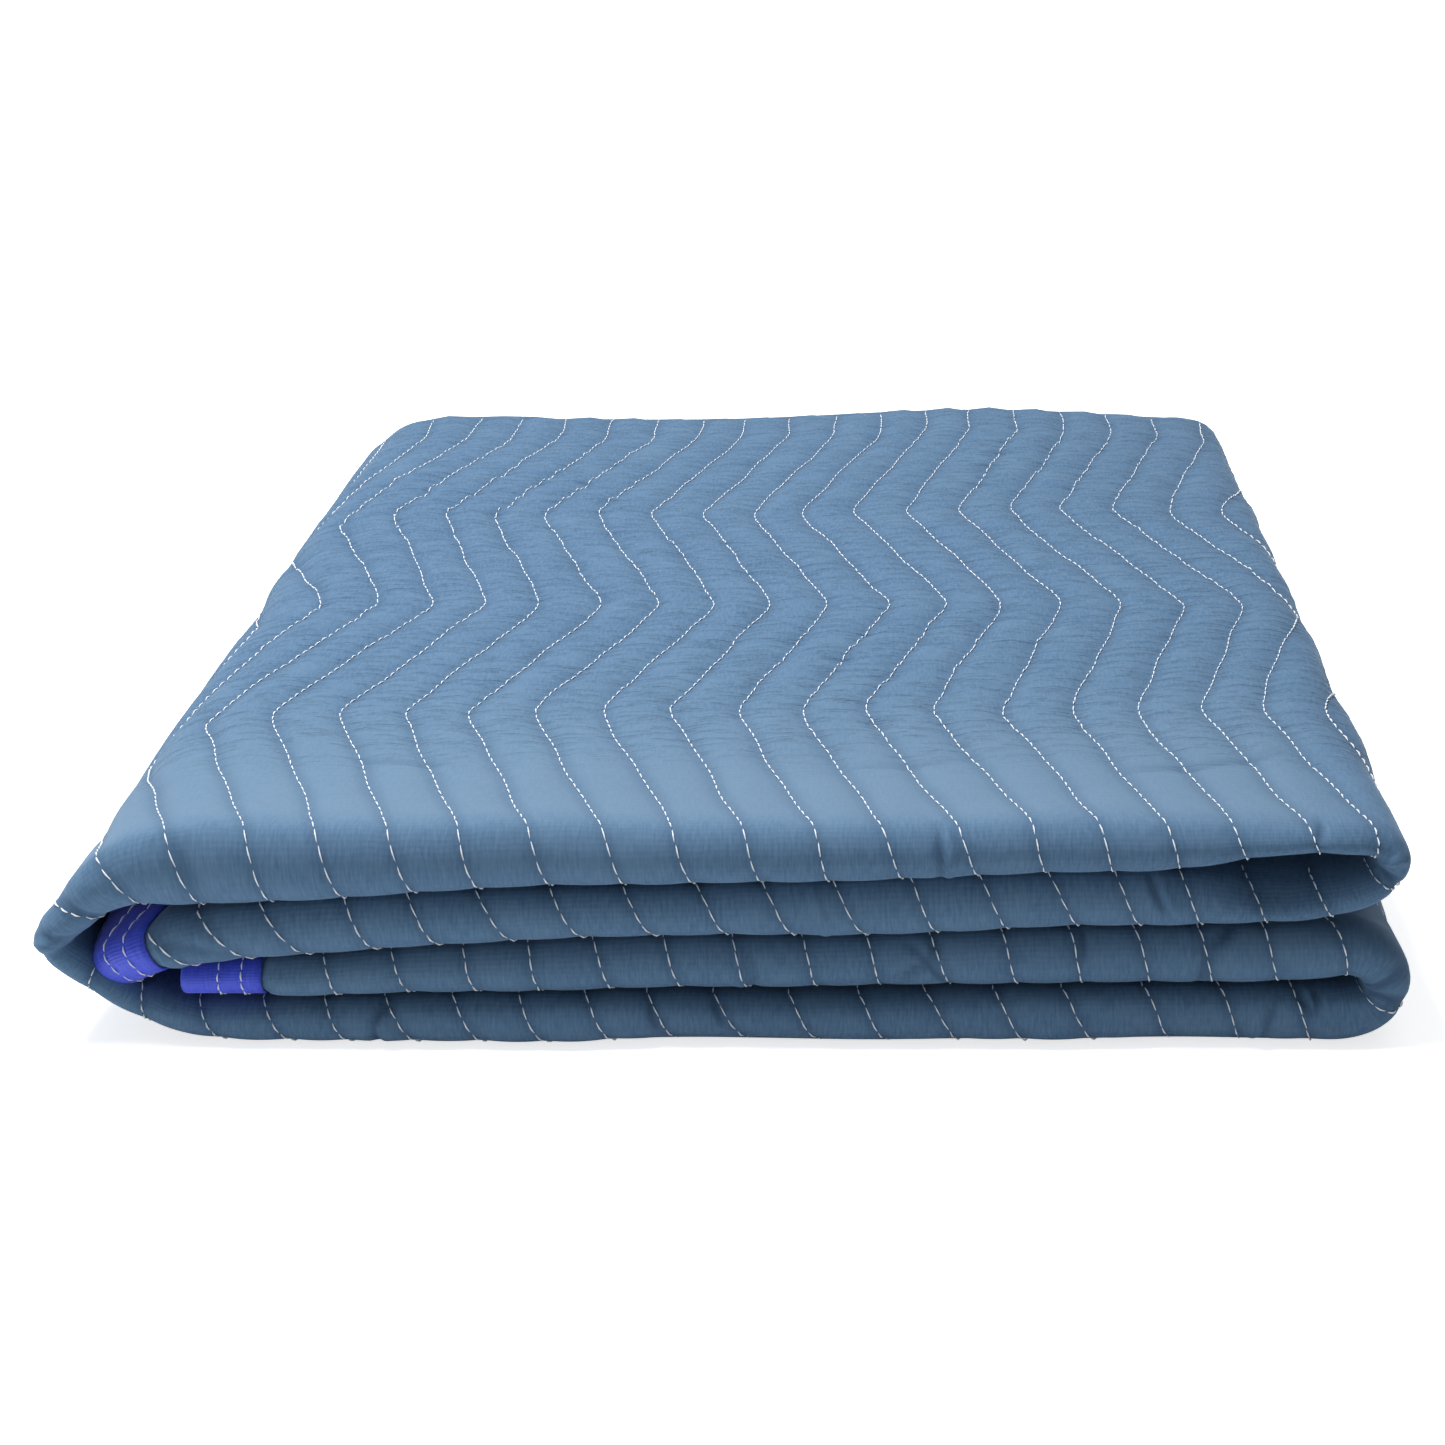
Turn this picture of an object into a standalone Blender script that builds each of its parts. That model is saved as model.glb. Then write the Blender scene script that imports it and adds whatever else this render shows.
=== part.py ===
"""Quilted moving blanket, folded flat into a package of sixteen plies.

The blanket is one padded sheet, 72 by 80 inches, quilted with white zigzag rows and bound with
woven tape on two opposite edges. It is folded in four along its length (the first fold, across Y)
and then rolled up over itself into four layers (the second fold, across X), so that each layer
shows one round roll at the front and the two taped ends meet at the left, inside the wrap.

Metres, +Z up, front of the package at -Y, origin under the middle of the package.
"""
import math

import bmesh
import bpy
import numpy as np

MM = 0.001

# The sheet as it was cut and quilted; the first stitch row lies near its end, and the stitching
# sinks by a share of half the ply
BLANKET_LENGTH = 2.032
STITCH_START = 0.0063
STITCH_SPACING = 0.0244
ZIGZAG_REACH = 0.0345
QUILT_DEPTH = 0.65

# Plies in one layer
PLIES = 4
PLY_PITCH = 0.0050
PLY_GAP = 0.0007
LAYER_GAP = 0.0009

# Woven tape that binds the two ends of the sheet
TAPE_WIDTH = 0.027
TAPE_THICKNESS = 0.0007
TAPE_CLEARANCE = 0.0003
TAPE_SHOULDER = 0.0045
TAPE_STEPS = 3

# Fineness of the folded mesh
SPLINE_STEPS = 40
SPINE_STEP = 0.0005
SPINE_SOFTNESS = 0.0032
TURN_STEP = math.radians(26)
ROLL_STEPS = 6
CREASE_STEPS = 4
FOLD_EASE = 0.060
FOLD_MARGIN = 0.014
END_OVERRUN = 0.006

# Middle line of the four layers, seen from the front: x, z and layer thickness in millimetres
SPINE = {
    "layer 2": (
        (-209, 37.0, 17.4),
        (-200, 39.4, 18.6),
        (-184, 41.2, 19.4),
        (-146, 44.2, 21.4),
        (-8, 49.8, 21.2),
        (157, 54.0, 22.0),
        (200, 54.2, 18.0),
    ),
    "upper fold": (
        (213, 56.2, 14.8),
        (222.8, 60.8, 13.2),
        (227.4, 67.8, 12.8),
        (224.2, 74.6, 12.8),
        (215, 77.0, 13.2),
    ),
    "layer 1": (
        (203, 76.9, 13.6),
        (157, 74.9, 17.6),
        (-8, 72.0, 22.8),
        (-146, 69.3, 27.6),
        (-184, 67.4, 30.0),
    ),
    "wrap": (
        (-203, 63.8, 24.5),
        (-214.5, 57.0, 19.5),
        (-223, 48.0, 16.0),
        (-228.6, 38.0, 14.0),
        (-225.0, 28.0, 13.4),
        (-215.0, 19.6, 13.2),
        (-203, 13.8, 13.8),
        (-182, 8.8, 14.8),
    ),
    "layer 4": (
        (-146, 8.7, 16.8),
        (-8, 9.1, 17.6),
        (157, 10.4, 20.2),
        (204, 10.4, 20.0),
    ),
    "lower fold": (
        (216, 10.6, 18.8),
        (224.6, 14.4, 17.8),
        (228.2, 22.2, 17.6),
        (224.6, 30.0, 17.8),
        (216, 33.6, 18.8),
    ),
    "layer 3": (
        (203, 33.0, 20.6),
        (157, 31.8, 21.6),
        (-8, 28.7, 20.6),
        (-146, 25.4, 16.0),
        (-187, 24.0, 13.8),
    ),
}

# How far each layer's front roll stands back from the foremost one, in millimetres
SETBACK = {"layer 2": 1.5, "layer 1": 0.5, "layer 4": 0.0, "layer 3": 2.5}

# Where the zigzag turns on the outer ply, as distance from the fold line at the front roll:
# distance in millimetres and side, +1 for a point towards the right of the layer 1 face
ZIGZAG_TURNS = ((-12, 1), (110, -1), (224, 1), (346, -1), (472, 1))

# Row of the zigzag turns that lies half way back, where the hidden plies have a row too
MIDDLE_TURN = 2

# Swell of the package over the floor: x and y of the middle, radius (millimetres), share of height
SWELLS = ((105, 200, 130, 0.065), (-20, 230, 90, -0.03), (215, 225, 70, -0.05))

CLOTH_BLUE = (0.075, 0.165, 0.300, 1.0)
TAPE_BLUE = (0.040, 0.042, 0.420, 1.0)


def catmull_rom(points, steps):
    """Smooth curve through the points, as an array of steps points for each interval."""
    knots = np.asarray(points, float)
    padded = np.vstack([2 * knots[0] - knots[1], knots, 2 * knots[-1] - knots[-2]])
    gaps = np.sqrt(np.linalg.norm(np.diff(padded[:, :2], axis=0), axis=1))
    times = np.concatenate([[0.0], np.cumsum(gaps)])
    curve = []
    for i in range(1, len(knots)):
        p0, p1, p2, p3 = padded[i - 1:i + 3]
        t0, t1, t2, t3 = times[i - 1:i + 3]
        t = np.linspace(t1, t2, steps, endpoint=False)[:, None]
        a1 = p0 + (p1 - p0) * (t - t0) / (t1 - t0)
        a2 = p1 + (p2 - p1) * (t - t1) / (t2 - t1)
        a3 = p2 + (p3 - p2) * (t - t2) / (t3 - t2)
        b1 = a1 + (a2 - a1) * (t - t0) / (t2 - t0)
        b2 = a2 + (a3 - a2) * (t - t1) / (t3 - t1)
        curve.append(b1 + (b2 - b1) * (t - t1) / (t2 - t1))
    curve.append(knots[-1:])
    return np.vstack(curve)


class Spine:
    """The layers' middle line in the X-Z plane, read by the distance along it."""

    def __init__(self):
        knots = [row for rows in SPINE.values() for row in rows]
        rough = catmull_rom(knots, SPLINE_STEPS) * MM
        shares = self.distances(rough) / self.distances(rough)[-1]
        shape = self.soften(rough)
        along = self.distances(shape)
        lengths = np.diff(along)
        self.length = along[-1]
        self.marks = {}
        index = 0
        for name, rows in SPINE.items():
            last = index + len(rows) - 1
            start, end = shares[index * SPLINE_STEPS], shares[last * SPLINE_STEPS]
            self.marks[name] = (start * self.length, end * self.length)
            index = last + 1
        # straight overrun past each end, for the tape that wraps the edge
        head = shape[0] + (shape[0] - shape[1]) / lengths[0] * END_OVERRUN
        tail = shape[-1] + (shape[-1] - shape[-2]) / lengths[-1] * END_OVERRUN
        head[2], tail[2] = shape[0][2], shape[-1][2]
        shape = np.vstack([head, shape, tail])
        self.along = np.concatenate([[-END_OVERRUN], along, [self.length + END_OVERRUN]])
        self.shape = shape
        tangent = np.gradient(shape[:, :2], self.along, axis=0)
        self.tangent = tangent / np.linalg.norm(tangent, axis=1)[:, None]
        heading = np.unwrap(np.arctan2(self.tangent[:, 1], self.tangent[:, 0]))
        self.heading = heading
        self.setback = self.read_setback()

    @staticmethod
    def distances(shape):
        """Distance along the line at each of its points."""
        lengths = np.linalg.norm(np.diff(shape[:, :2], axis=0), axis=1)
        return np.concatenate([[0.0], np.cumsum(lengths)])

    def soften(self, rough):
        """The same line in even steps, with its bends rounded off."""
        along = self.distances(rough)
        even = np.arange(0.0, along[-1], SPINE_STEP)
        line = np.stack([np.interp(even, along, rough[:, i]) for i in range(3)], axis=1)
        reach = int(3 * SPINE_SOFTNESS / SPINE_STEP)
        offsets = np.arange(-reach, reach + 1) * SPINE_STEP
        weights = np.exp(-0.5 * (offsets / SPINE_SOFTNESS) ** 2)
        weights /= weights.sum()
        head = 2 * line[0] - line[reach:0:-1]
        tail = 2 * line[-1] - line[-2:-reach - 2:-1]
        padded = np.vstack([head, line, tail])
        return np.stack([np.convolve(padded[:, i], weights, "valid") for i in range(3)], axis=1)

    def read_setback(self):
        """Setback of the front roll along the line, eased from layer to layer over the folds."""
        places, values = [], []
        for name, (start, end) in self.marks.items():
            if name in SETBACK:
                places += [start, end]
                values += [SETBACK[name] * MM] * 2
        return np.interp(self.along, places, values)

    def at(self, s):
        """Middle point, unit normal towards the inside of the turns, and ply pitch at s."""
        x = np.interp(s, self.along, self.shape[:, 0])
        z = np.interp(s, self.along, self.shape[:, 1])
        heading = np.interp(s, self.along, self.heading)
        thickness = np.interp(s, self.along, self.shape[:, 2])
        pitch = (thickness - LAYER_GAP) / PLIES
        return x, z, -math.sin(heading), math.cos(heading), pitch

    def turn_between(self, start, end):
        """Angle that the line turns through between two places."""
        return abs(np.interp(end, self.along, self.heading)
                   - np.interp(start, self.along, self.heading))

    def ease(self, s):
        """1 along the flat runs, falling to 0 at the folds and at both ends."""
        clear = min(s, self.length - s) - TAPE_WIDTH - TAPE_SHOULDER
        for name in ("upper fold", "wrap", "lower fold"):
            start, end = self.marks[name]
            clear = min(clear, max(start - s, s - end) - FOLD_MARGIN)
        share = min(max(clear / FOLD_EASE, 0.0), 1.0)
        return share * share * (3 - 2 * share)


class Section:
    """One layer cut along Y: the sheet lies in four plies between the front and the back."""

    def __init__(self):
        self.outer = 1.5 * PLY_PITCH
        self.inner = 0.5 * PLY_PITCH
        self.half_ply = (PLY_PITCH - PLY_GAP) / 2
        crease_room = self.inner + self.half_ply
        arcs = math.pi * (self.outer + 2 * self.inner)
        self.run = (BLANKET_LENGTH - arcs + 2 * crease_room) / PLIES
        self.short_run = self.run - crease_room
        self.depth = self.run + self.outer + self.half_ply
        self.front = -self.depth / 2 + self.outer + self.half_ply
        self.back = self.front + self.short_run
        # start of each stretch along the sheet
        self.roll = self.run
        self.face = self.roll + math.pi * self.outer
        self.crease = self.face + self.short_run
        self.third = self.crease + math.pi * self.inner
        self.turn = self.third + self.short_run
        self.fourth = self.turn + math.pi * self.inner
        self.fold_line = self.roll + math.pi * self.outer / 2
        self.middle = self.fold_line + ZIGZAG_TURNS[MIDDLE_TURN][0] * MM - self.face

    def at(self, t):
        """y, ply position in pitches, and the outward normal (along y, across the layer)."""
        if t <= self.roll:
            return self.front + self.run - t, 1.5, 0.0, 1.0
        if t <= self.face:
            angle = (t - self.roll) / self.outer
            y = self.front - self.outer * math.sin(angle)
            return y, 1.5 * math.cos(angle), -math.sin(angle), math.cos(angle)
        if t <= self.crease:
            return self.front + t - self.face, -1.5, 0.0, -1.0
        if t <= self.third:
            angle = (t - self.crease) / self.inner
            y = self.back + self.inner * math.sin(angle)
            return y, -1.0 - 0.5 * math.cos(angle), math.sin(angle), -math.cos(angle)
        if t <= self.turn:
            return self.back - (t - self.third), -0.5, 0.0, 1.0
        if t <= self.fourth:
            angle = (t - self.turn) / self.inner
            y = self.front - self.inner * math.sin(angle)
            return y, -0.5 * math.cos(angle), math.sin(angle), math.cos(angle)
        return self.front + t - self.fourth, 0.5, 0.0, -1.0

    def rows(self):
        """Places along the sheet where the mesh has a row of points."""
        turns = [self.fold_line + MM * turn[0] for turn in ZIGZAG_TURNS]
        rows = [0.0, self.run - self.middle]
        rows += np.linspace(self.roll, self.face, ROLL_STEPS + 1).tolist()
        rows += [t for t in turns if self.face + 0.02 < t < self.crease - 0.01]
        rows += np.linspace(self.crease, self.third, CREASE_STEPS + 1).tolist()
        rows += [self.turn - self.middle]
        rows += np.linspace(self.turn, self.fourth, CREASE_STEPS + 1).tolist()
        rows += [self.fourth + self.middle, BLANKET_LENGTH]
        return rows


spine = Spine()
section = Section()


def zigzag(t):
    """Sideways swing of the stitch rows at t, from -1 to 1."""
    places = [section.fold_line + MM * turn[0] for turn in ZIGZAG_TURNS]
    return float(np.interp(t, places, [turn[1] for turn in ZIGZAG_TURNS]))


def swell(x, y):
    """Share by which the package is higher or lower than the plain stack here.

    It runs straight between the front, the middle row and the back, as every ply does.
    """
    stations = (section.front, section.front + section.middle, section.back)
    shares = []
    for station in stations:
        share = 0.0
        for middle_x, middle_y, radius, rise in SWELLS:
            reach = math.hypot(x - middle_x * MM, station - middle_y * MM) / (radius * MM)
            share += rise * math.exp(-reach * reach)
        shares.append(share)
    return float(np.interp(y, stations, shares))


def fold(s, t, w):
    """Place of a point of the flat sheet in the folded package; w is its height off mid-ply."""
    y, ply, out_y, out_n = section.at(t)
    x, z, normal_x, normal_z, pitch = spine.at(s)
    across = ply * pitch + w * out_n
    y += w * out_y * PLY_PITCH / pitch
    x += across * normal_x
    z += across * normal_z
    return x, y + np.interp(s, spine.along, spine.setback), z * (1 + swell(x, y))


def half_thickness(s):
    """Half the ply's thickness at s, thinner where the tape grips it."""
    pitch = spine.at(s)[4]
    half = (pitch - PLY_GAP) / 2
    edge = min(s, spine.length - s)
    if edge >= TAPE_WIDTH + TAPE_SHOULDER:
        return half
    end = 0.0 if s < spine.length / 2 else spine.length
    gripped = (spine.at(end)[4] - PLY_GAP) / 2 - TAPE_THICKNESS - TAPE_CLEARANCE
    return gripped if edge < TAPE_WIDTH + 2 * TAPE_CLEARANCE else half


def quilt_dip(s, t):
    """Share of the quilting's depth on the outer face: 1 on a stitch row, 0 between two."""
    swung = s + zigzag(t) * ZIGZAG_REACH / 2
    phase = ((swung - STITCH_START) / STITCH_SPACING) % 1.0
    return 1 - math.sin(math.pi * phase) ** 0.7


def columns():
    """Places across the sheet: tape steps at the ends, stitch rows on the runs, more at folds."""
    tape = np.linspace(0, TAPE_WIDTH + TAPE_CLEARANCE, TAPE_STEPS + 1).tolist()
    tape.append(TAPE_WIDTH + TAPE_SHOULDER)
    places = list(tape)
    rows = int(spine.length / STITCH_SPACING)
    stitches = [STITCH_START + k * STITCH_SPACING for k in range(rows)]
    room = STITCH_SPACING / 3
    inner = [s for s in stitches if tape[-1] + room < s < spine.length - tape[-1] - room]
    for s in inner + [spine.length - tape[-1]]:
        pieces = max(1, math.ceil(spine.turn_between(places[-1], s) / TURN_STEP))
        places += np.linspace(places[-1], s, pieces + 1)[1:].tolist()
    places += [spine.length - edge for edge in reversed(tape[:-1])]
    return places


def material(name, colour, roughness):
    """Plain cloth material."""
    made = bpy.data.materials.new(name)
    made.use_nodes = True
    shader = made.node_tree.nodes["Principled BSDF"]
    shader.inputs["Base Color"].default_value = colour
    shader.inputs["Roughness"].default_value = roughness
    shader.inputs["Metallic"].default_value = 0.0
    return made


def flat_sheet(name, across, along):
    """Grid with a column at each place in across and a row at each place in along."""
    bpy.ops.mesh.primitive_grid_add(x_subdivisions=len(across) - 1, y_subdivisions=len(along) - 1,
                                    size=2.0)
    sheet = bpy.context.object
    sheet.name = name
    for vertex in sheet.data.vertices:
        column = round((vertex.co.x + 1) / 2 * (len(across) - 1))
        row = round((vertex.co.y + 1) / 2 * (len(along) - 1))
        s, w = across[column]
        vertex.co = (s, along[row], w)
    return sheet


def thicken(sheet, thickness):
    """Give the flat sheet its thickness and keep the closed mesh."""
    solidify = sheet.modifiers.new("thickness", "SOLIDIFY")
    solidify.thickness = thickness
    solidify.offset = 0.0
    graph = bpy.context.evaluated_depsgraph_get()
    closed = bpy.data.meshes.new_from_object(sheet.evaluated_get(graph))
    sheet.modifiers.clear()
    sheet.data = closed


def add_crowns(sheet):
    """Split the outer face between the stitch rows, where the quilting swells."""
    mesh = bmesh.new()
    mesh.from_mesh(sheet.data)
    split = []
    for edge in mesh.edges:
        first, second = (vertex.co for vertex in edge.verts)
        outside = first.z > 0 and second.z > 0
        same_row = abs(first.y - second.y) < 1e-6
        in_face = section.roll - 1e-5 <= first.y <= section.crease + 1e-5
        if outside and same_row and in_face and abs(first.x - second.x) > STITCH_SPACING * 0.6:
            split.append(edge)
    bmesh.ops.subdivide_edges(mesh, edges=split, cuts=1, use_grid_fill=True)
    mesh.to_mesh(sheet.data)
    mesh.free()


def finish(sheet, finish_material):
    """Triangulate, point the faces outwards and give the material."""
    mesh = bmesh.new()
    mesh.from_mesh(sheet.data)
    bmesh.ops.triangulate(mesh, faces=mesh.faces[:])
    bmesh.ops.recalc_face_normals(mesh, faces=mesh.faces[:])
    mesh.to_mesh(sheet.data)
    mesh.free()
    sheet.data.materials.clear()
    sheet.data.materials.append(finish_material)


def make_pad():
    """The quilted sheet itself, padded, stitched and folded."""
    sheet = flat_sheet("quilted_pad", [(s, 0.0) for s in columns()], section.rows())
    thicken(sheet, PLY_PITCH)
    add_crowns(sheet)
    lower = spine.marks["layer 4"]
    for vertex in sheet.data.vertices:
        s, t, w = vertex.co
        outside = w > 0
        w = math.copysign(half_thickness(s), w)
        s -= spine.ease(s) * zigzag(t) * ZIGZAG_REACH / 2
        on_floor = lower[0] < s < lower[1]
        if outside and section.roll < t < section.crease + 1e-5 and not on_floor:
            edge = min(s, spine.length - s) - TAPE_WIDTH - TAPE_SHOULDER
            if edge > 0:
                w -= QUILT_DEPTH * half_thickness(s) * quilt_dip(s, t)
        vertex.co = fold(s, t, w)
    return sheet


def make_tape(name, end, inward):
    """Binding tape, a U around one end of the sheet, folded with it."""
    half = (spine.at(end)[4] - PLY_GAP - TAPE_THICKNESS) / 2
    reach = np.linspace(TAPE_WIDTH, 0, TAPE_STEPS + 1)
    nose = -TAPE_CLEARANCE - TAPE_THICKNESS / 2
    profile = [(s, half) for s in reach]
    profile += [(nose, half * 0.7), (nose, -half * 0.7)]
    profile += [(s, -half) for s in reversed(reach)]
    across = [(end + inward * s, w) for s, w in profile]
    sheet = flat_sheet(name, across, section.rows())
    thicken(sheet, TAPE_THICKNESS)
    for vertex in sheet.data.vertices:
        vertex.co = fold(*vertex.co)
    return sheet


def settle(sheets):
    """Set the package on the floor, with its box centred on the origin and its base level."""
    points = [vertex.co for sheet in sheets for vertex in sheet.data.vertices]
    low_x, high_x = min(p.x for p in points), max(p.x for p in points)
    low_y, high_y = min(p.y for p in points), max(p.y for p in points)
    floor = np.median([p.z for p in points if p.z < 2 * MM])
    for point in points:
        point.x -= (low_x + high_x) / 2
        point.y -= (low_y + high_y) / 2
        point.z -= floor
        if point.z < 0.5 * MM:
            point.z = 0.0


def main():
    for old in list(bpy.data.objects):
        bpy.data.objects.remove(old, do_unlink=True)
    cloth = material("blanket_cloth", CLOTH_BLUE, 0.85)
    tape = material("binding_tape", TAPE_BLUE, 0.6)
    pad = make_pad()
    upper = make_tape("binding_upper", 0.0, 1)
    lower = make_tape("binding_lower", spine.length, -1)
    settle([pad, upper, lower])
    blanket = bpy.data.collections.new("moving_blanket")
    bpy.context.scene.collection.children.link(blanket)
    for sheet, look in ((pad, cloth), (upper, tape), (lower, tape)):
        finish(sheet, look)
        for holder in list(sheet.users_collection):
            holder.objects.unlink(sheet)
        blanket.objects.link(sheet)


main()
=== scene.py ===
"""Quilted moving blanket, folded flat, on a pale floor.

The padded sheet, its zigzag stitching and its two woven bindings follow the same folding as the
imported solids, on a finer grid.
"""
import math

import bmesh
import bpy
import numpy as np
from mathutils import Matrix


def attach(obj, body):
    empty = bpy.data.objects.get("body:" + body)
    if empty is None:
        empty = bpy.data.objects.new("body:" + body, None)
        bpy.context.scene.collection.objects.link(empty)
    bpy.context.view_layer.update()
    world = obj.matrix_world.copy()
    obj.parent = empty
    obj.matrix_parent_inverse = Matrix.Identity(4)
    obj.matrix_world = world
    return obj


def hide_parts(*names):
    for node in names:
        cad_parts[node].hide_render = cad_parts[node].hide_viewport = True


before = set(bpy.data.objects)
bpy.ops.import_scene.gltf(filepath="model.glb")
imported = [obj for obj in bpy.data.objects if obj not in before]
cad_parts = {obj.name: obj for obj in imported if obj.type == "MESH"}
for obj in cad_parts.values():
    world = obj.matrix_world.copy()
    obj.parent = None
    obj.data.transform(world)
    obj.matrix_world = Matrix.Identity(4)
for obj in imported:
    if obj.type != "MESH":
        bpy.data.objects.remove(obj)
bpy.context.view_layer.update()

bpy.ops.object.select_all(action="DESELECT")


# Camera. It looks down on the front of the package from a little above a table's height, and its
# frame is shifted sideways because the photograph was cropped to one side.
camera_data = bpy.data.cameras.new("camera")
camera_data.sensor_width = 36.0
camera_data.lens = 57.8
camera_data.shift_x = -0.1143
camera_data.clip_start = 0.05
camera = bpy.data.objects.new("camera", camera_data)
camera.location = (0.0539, -0.9483, 0.4213)
camera.rotation_euler = (math.radians(90 - 23.34), 0.0, -0.0012)
bpy.context.scene.collection.objects.link(camera)
bpy.context.scene.camera = camera
bpy.context.scene.view_settings.view_transform = "Standard"


# Floor and light. A plain pale table top, a soft box above and to the left, a weak one at floor
# height in front, a wide one over the table's far end, and a pale room all round.
def soft_box(name, place, aim, size, power):
    """Square area light that faces the point aim."""
    lamp = bpy.data.lights.new(name, "AREA")
    lamp.shape = "SQUARE"
    lamp.size = size
    lamp.energy = power
    holder = bpy.data.objects.new(name, lamp)
    bpy.context.scene.collection.objects.link(holder)
    holder.location = place
    turn = [a - b for a, b in zip(aim, place)]
    flat = math.hypot(turn[0], turn[1])
    holder.rotation_euler = (math.atan2(flat, -turn[2]), 0.0, math.atan2(-turn[0], turn[1]))


soft_box("box_above", (-0.45, -0.04, 1.40), (0.0, 0.0, 0.05), 0.6, 28.0)
soft_box("box_front", (-0.60, -1.15, 0.03), (0.0, -0.25, 0.03), 0.4, 2.0)
soft_box("box_far", (0.0, 4.0, 2.0), (0.0, 3.9, 0.0), 3.2, 100.0)

room = bpy.data.worlds.new("room")
room.use_nodes = True
nodes, links = room.node_tree.nodes, room.node_tree.links
nodes["Background"].inputs["Color"].default_value = (0.93, 0.96, 1.0, 1.0)
seen = nodes.new("ShaderNodeLightPath")
glow = nodes.new("ShaderNodeMapRange")
glow.inputs["To Min"].default_value = 0.22
glow.inputs["To Max"].default_value = 0.95
links.new(seen.outputs["Is Camera Ray"], glow.inputs["Value"])
links.new(glow.outputs["Result"], nodes["Background"].inputs["Strength"])
bpy.context.scene.world = room

bpy.ops.mesh.primitive_plane_add(size=9.0, location=(0.0, 0.0, -0.0003))
floor = bpy.context.object
floor.name = "table_top"
paint = bpy.data.materials.new("pale_table")
paint.use_nodes = True
nodes, links = paint.node_tree.nodes, paint.node_tree.links
shader = nodes["Principled BSDF"]
shader.inputs["Base Color"].default_value = (0.92, 0.92, 0.92, 1)
shader.inputs["Roughness"].default_value = 0.75
shader.inputs["Emission Color"].default_value = (1, 1, 1, 1)
seen = nodes.new("ShaderNodeLightPath")
glow = nodes.new("ShaderNodeMapRange")
glow.inputs["To Max"].default_value = 0.72
links.new(seen.outputs["Is Camera Ray"], glow.inputs["Value"])
links.new(glow.outputs["Result"], shader.inputs["Emission Strength"])
floor.data.materials.append(paint)
bpy.ops.object.select_all(action="DESELECT")


# The quilted sheet. One pad of cloth on both sides with batting between them, sewn through in
# zigzag rows, folded in four along its length and then rolled over itself into four layers.
# It is made flat, with a fine grid where it shows, and then every point is laid in its fold.
# On the flat sheet s runs across the width, from the upper binding, and t along the length.
MM = 0.001
SHEET_LENGTH = 2.032
ROW_START = 0.0063
ROW_SPACING = 0.0244
ROW_SWING = 0.0345
PLIES = 4
PLY_PITCH = 0.0050
PLY_GAP = 0.0007
LAYER_GAP = 0.0009
BINDING_WIDTH = 0.027
BINDING_THICKNESS = 0.0007
BINDING_CLEARANCE = 0.0003
BINDING_SHOULDER = 0.0045

# Middle line of the layers, seen from the front: x, z and layer thickness in millimetres
MIDDLE_LINE = {
    "layer 2": (
        (-209, 37.0, 17.4),
        (-200, 39.4, 18.6),
        (-184, 41.2, 19.4),
        (-146, 44.2, 21.4),
        (-8, 49.8, 21.2),
        (157, 54.0, 22.0),
        (200, 54.2, 18.0),
    ),
    "upper fold": (
        (213, 56.2, 14.8),
        (222.8, 60.8, 13.2),
        (227.4, 67.8, 12.8),
        (224.2, 74.6, 12.8),
        (215, 77.0, 13.2),
    ),
    "layer 1": (
        (203, 76.9, 13.6),
        (157, 74.9, 17.6),
        (-8, 72.0, 22.8),
        (-146, 69.3, 27.6),
        (-184, 67.4, 30.0),
    ),
    "wrap": (
        (-203, 63.8, 24.5),
        (-214.5, 57.0, 19.5),
        (-223, 48.0, 16.0),
        (-228.6, 38.0, 14.0),
        (-225.0, 28.0, 13.4),
        (-215.0, 19.6, 13.2),
        (-203, 13.8, 13.8),
        (-182, 8.8, 14.8),
    ),
    "layer 4": (
        (-146, 8.7, 16.8),
        (-8, 9.1, 17.6),
        (157, 10.4, 20.2),
        (204, 10.4, 20.0),
    ),
    "lower fold": (
        (216, 10.6, 18.8),
        (224.6, 14.4, 17.8),
        (228.2, 22.2, 17.6),
        (224.6, 30.0, 17.8),
        (216, 33.6, 18.8),
    ),
    "layer 3": (
        (203, 33.0, 20.6),
        (157, 31.8, 21.6),
        (-8, 28.7, 20.6),
        (-146, 25.4, 16.0),
        (-187, 24.0, 13.8),
    ),
}
LINE_STEPS = 40
LINE_STEP = 0.0005
LINE_SOFTNESS = 0.0032
LINE_OVERRUN = 0.006

# How far each layer's front roll lies back, in mm
SETBACK = {"layer 2": 1.5, "layer 1": 0.5, "layer 4": 0.0, "layer 3": 2.5}

# The zigzag on the outer ply: distance (mm) from the fold line at the front roll, and side
ZIGZAG_TURNS = ((-12, 1), (110, -1), (224, 1), (346, -1), (472, 1))
MIDDLE_TURN = 2
ZIGZAG_STEP = 0.001
ZIGZAG_ROUNDING = 0.0060

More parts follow.
